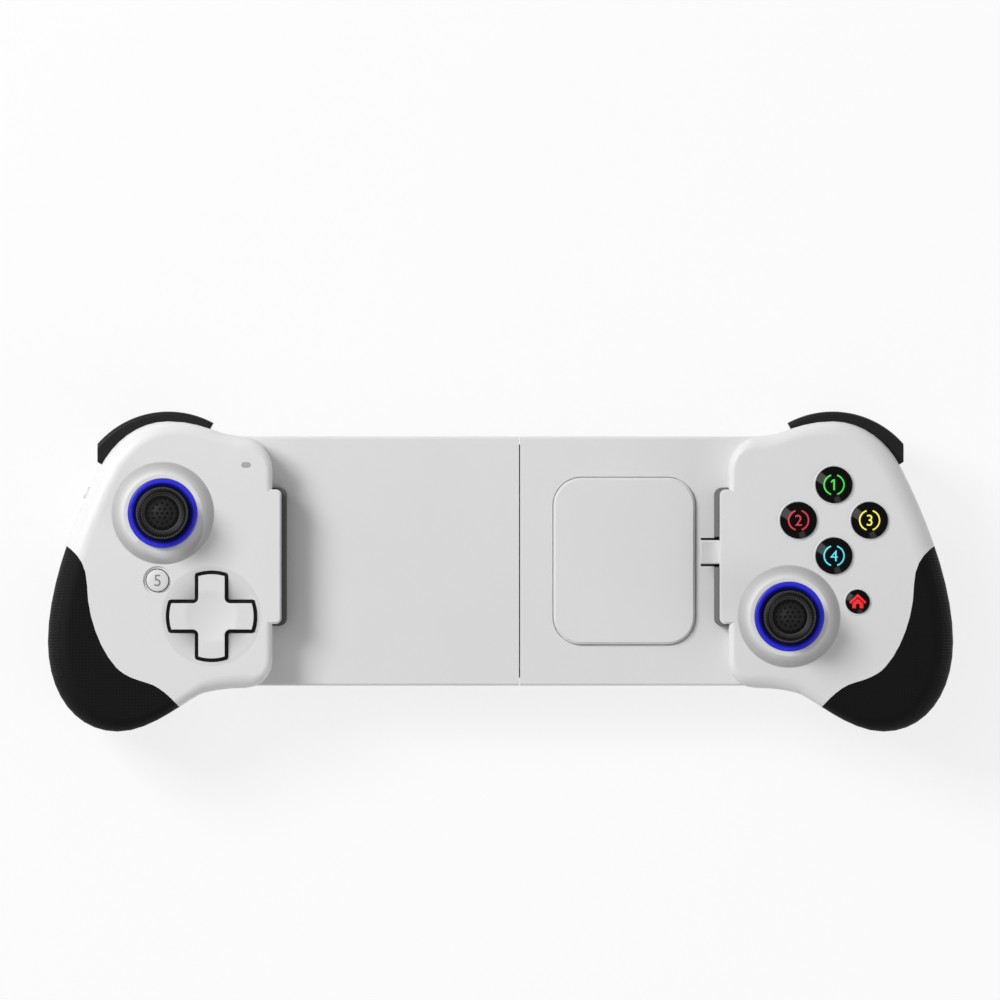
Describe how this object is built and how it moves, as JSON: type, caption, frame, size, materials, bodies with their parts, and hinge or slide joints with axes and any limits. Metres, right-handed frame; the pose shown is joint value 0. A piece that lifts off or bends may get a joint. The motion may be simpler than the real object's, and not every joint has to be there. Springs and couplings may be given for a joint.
{
  "type": "mobile game controller",
  "caption": "Telescopic phone gamepad: grip handles with thumbsticks, D-pad, face buttons and shoulder keys, joined by a spring-loaded sliding bridge with clamp jaws and a charging plug.",
  "frame": {"origin": "middle of the closed part on the table it lies on, face up", "axes": "+X to the right handle, +Y to the shoulder keys, +Z out of the face"},
  "size_m": [0.263, 0.093, 0.0454],
  "materials": {
    "shell_white": "fine moulded texture",
    "panel_white": "smooth moulded",
    "grip_black": "fine ribbed and dotted",
    "key_black": "satin moulded",
    "trigger_black": "satin moulded",
    "stick_black": "knurled rim and dotted crown",
    "ring_blue": "lit translucent ring",
    "button_black": "clear glossy dome",
    "button_white": "satin moulded",
    "pad_dark": "smooth",
    "pad_white": "smooth silicone",
    "board_green": "solder mask",
    "steel": "plain",
    "membrane_grey": "silicone",
    "tongue_grey": "moulded",
    "cable_amber": "polyimide film",
    "light_clear": "clear light guide",
    "plug_metal": "plated shell",
    "inner_dark": "moulded"
  },
  "bodies": {
    "left_half": {"left_front_shell": "shell_white", "left_back_shell": "shell_white", "left_front_grip": "grip_black", "left_back_grip": "grip_black", "left_clamp_pad": "pad_dark", "left_board": "board_green", "left_shell_screws": "steel", "left_stick_ring": "ring_blue", "left_stick_housing": "inner_dark", "dpad_membrane": "membrane_grey", "status_light": "light_clear", "left_bumper_pin": "steel", "left_trigger_pin": "steel", "sleeve_front": "panel_white", "sleeve_back": "panel_white", "return_springs": "steel", "flex_cable": "cable_amber", "sleeve_screws": "steel"},
    "right_half": {"slider_tongue": "tongue_grey", "slider_front": "panel_white", "slider_back": "panel_white", "phone_pad": "pad_white", "slider_screws": "steel", "right_front_shell": "shell_white", "right_back_shell": "shell_white", "right_front_grip": "grip_black", "right_back_grip": "grip_black", "right_clamp_pad": "pad_dark", "right_board": "board_green", "right_shell_screws": "steel", "right_stick_ring": "ring_blue", "right_stick_housing": "inner_dark", "button_membrane": "membrane_grey", "right_bumper_pin": "steel", "right_trigger_pin": "steel", "plug_shell": "plug_metal", "plug_core": "inner_dark"},
    "left_yoke": {"left_stick_yoke": "inner_dark"},
    "left_rocker": {"left_stick_rocker": "inner_dark"},
    "left_stick": {"left_thumbstick": "stick_black"},
    "right_yoke": {"right_stick_yoke": "inner_dark"},
    "right_rocker": {"right_stick_rocker": "inner_dark"},
    "right_stick": {"right_thumbstick": "stick_black"},
    "dpad_pivot": {"dpad_fulcrum": "inner_dark"},
    "dpad_key": {"dpad": "button_white"},
    "turbo_key": {"turbo_button": "button_white"},
    "edge_key": {"side_key": "button_white"},
    "left_bumper_key": {"left_bumper": "key_black"},
    "left_trigger_key": {"left_trigger": "trigger_black"},
    "right_bumper_key": {"right_bumper": "key_black"},
    "right_trigger_key": {"right_trigger": "trigger_black"},
    "top_key": {"top_button": "button_black"},
    "left_key": {"left_button": "button_black"},
    "right_key": {"right_button": "button_black"},
    "bottom_key": {"bottom_button": "button_black"},
    "home_key": {"home_button": "button_black"}
  },
  "joints": [
    {"name": "bridge_slide", "type": "slide", "parent": "left_half", "child": "right_half", "axis": [1, 0, 0], "range_m": [0, 0.05], "stiffness_N_per_m": 60, "springref_m": -0.03, "deforming": ["return_springs", "flex_cable"]},
    {"name": "left_stick_pitch", "type": "hinge", "parent": "left_half", "child": "left_yoke", "pos_m": [-0.0979, 0.0169, 0.03], "axis": [1, 0, 0], "range_deg": [-12, 12], "stiffness_Nm_per_rad": 0.02},
    {"name": "left_stick_roll", "type": "hinge", "parent": "left_yoke", "child": "left_rocker", "pos_m": [-0.0979, 0.0169, 0.03], "axis": [0, 1, 0], "range_deg": [-12, 12], "stiffness_Nm_per_rad": 0.02},
    {"name": "left_stick_click", "type": "slide", "parent": "left_rocker", "child": "left_stick", "axis": [0, 0, -1], "range_m": [0, 0.0004], "stiffness_N_per_m": 2500},
    {"name": "right_stick_pitch", "type": "hinge", "parent": "right_half", "child": "right_yoke", "pos_m": [0.0837, -0.01305, 0.03], "axis": [1, 0, 0], "range_deg": [-12, 12], "stiffness_Nm_per_rad": 0.02},
    {"name": "right_stick_roll", "type": "hinge", "parent": "right_yoke", "child": "right_rocker", "pos_m": [0.0837, -0.01305, 0.03], "axis": [0, 1, 0], "range_deg": [-12, 12], "stiffness_Nm_per_rad": 0.02},
    {"name": "right_stick_click", "type": "slide", "parent": "right_rocker", "child": "right_stick", "axis": [0, 0, -1], "range_m": [0, 0.0004], "stiffness_N_per_m": 2500},
    {"name": "dpad_pitch", "type": "hinge", "parent": "left_half", "child": "dpad_pivot", "pos_m": [-0.0838, -0.013, 0.0285], "axis": [1, 0, 0], "range_deg": [-3.2, 3.2], "stiffness_Nm_per_rad": 0.08},
    {"name": "dpad_roll", "type": "hinge", "parent": "dpad_pivot", "child": "dpad_key", "pos_m": [-0.0838, -0.013, 0.0285], "axis": [0, 1, 0], "range_deg": [-3.2, 3.2], "stiffness_Nm_per_rad": 0.08},
    {"name": "turbo_press", "type": "slide", "parent": "left_half", "child": "turbo_key", "axis": [0, 0, -1], "range_m": [0, 0.001], "stiffness_N_per_m": 700},
    {"name": "edge_key_press", "type": "slide", "parent": "left_half", "child": "edge_key", "axis": [0.9096, -0.4154, 0], "range_m": [0, 0.0006], "stiffness_N_per_m": 700},
    {"name": "top_press", "type": "slide", "parent": "right_half", "child": "top_key", "axis": [0, 0, -1], "range_m": [0, 0.001], "stiffness_N_per_m": 700},
    {"name": "left_press", "type": "slide", "parent": "right_half", "child": "left_key", "axis": [0, 0, -1], "range_m": [0, 0.001], "stiffness_N_per_m": 700},
    {"name": "right_press", "type": "slide", "parent": "right_half", "child": "right_key", "axis": [0, 0, -1], "range_m": [0, 0.001], "stiffness_N_per_m": 700},
    {"name": "bottom_press", "type": "slide", "parent": "right_half", "child": "bottom_key", "axis": [0, 0, -1], "range_m": [0, 0.001], "stiffness_N_per_m": 700},
    {"name": "home_press", "type": "slide", "parent": "right_half", "child": "home_key", "axis": [0, 0, -1], "range_m": [0, 0.001], "stiffness_N_per_m": 700},
    {"name": "left_bumper_press", "type": "hinge", "parent": "left_half", "child": "left_bumper_key", "pos_m": [-0.08715, 0.04021, 0.024], "axis": [0, 0, 1], "range_deg": [0, 1.8], "stiffness_Nm_per_rad": 2},
    {"name": "left_trigger_pull", "type": "hinge", "parent": "left_half", "child": "left_trigger_key", "pos_m": [-0.10157, 0.03813, 0.017], "axis": [-0.9659, -0.2588, 0], "range_deg": [0, 13], "stiffness_Nm_per_rad": 0.3},
    {"name": "right_bumper_press", "type": "hinge", "parent": "right_half", "child": "right_bumper_key", "pos_m": [0.08715, 0.04021, 0.024], "axis": [0, 0, -1], "range_deg": [0, 1.8], "stiffness_Nm_per_rad": 2},
    {"name": "right_trigger_pull", "type": "hinge", "parent": "right_half", "child": "right_trigger_key", "pos_m": [0.10157, 0.03813, 0.017], "axis": [-0.9659, 0.2588, 0], "range_deg": [0, 13], "stiffness_Nm_per_rad": 0.3}
  ]
}
